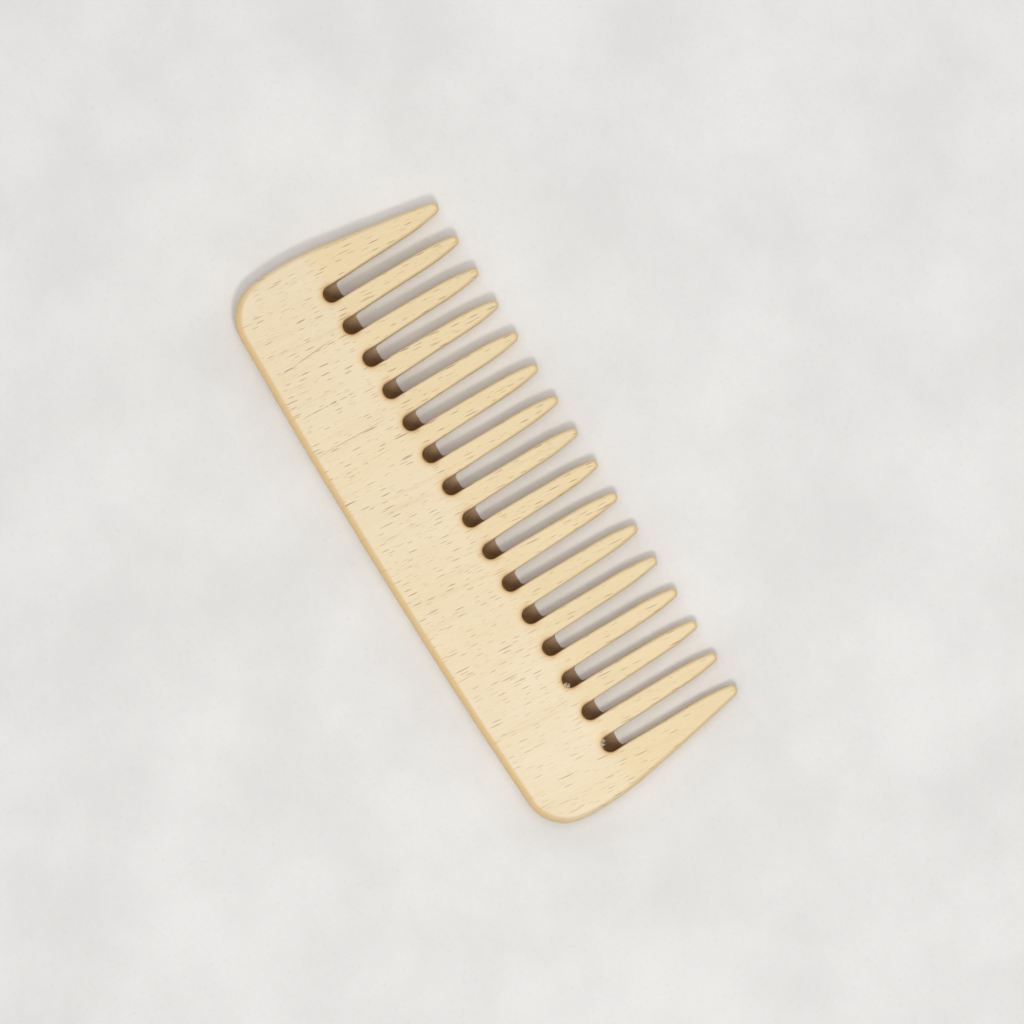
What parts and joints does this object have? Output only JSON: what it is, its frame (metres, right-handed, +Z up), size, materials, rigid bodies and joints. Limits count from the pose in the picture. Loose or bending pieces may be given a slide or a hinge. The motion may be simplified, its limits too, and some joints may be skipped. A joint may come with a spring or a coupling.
{
  "type": "wide tooth comb",
  "caption": "Flat one-piece beech comb for hair, with a deep curved spine and one row of wide-set tapered teeth.",
  "frame": {"origin": "centre of the comb's plan outline, in the plane of the face it lies on", "axes": "+X along the spine; +Y from the spine to the tooth tips, along the grain; +Z up through the thickness"},
  "size_m": [0.16, 0.0616, 0.009],
  "materials": {
    "wood": "flat-sawn beech, sanded and lightly oiled, satin"
  },
  "bodies": {
    "root": {"comb": "wood"}
  },
  "joints": []
}
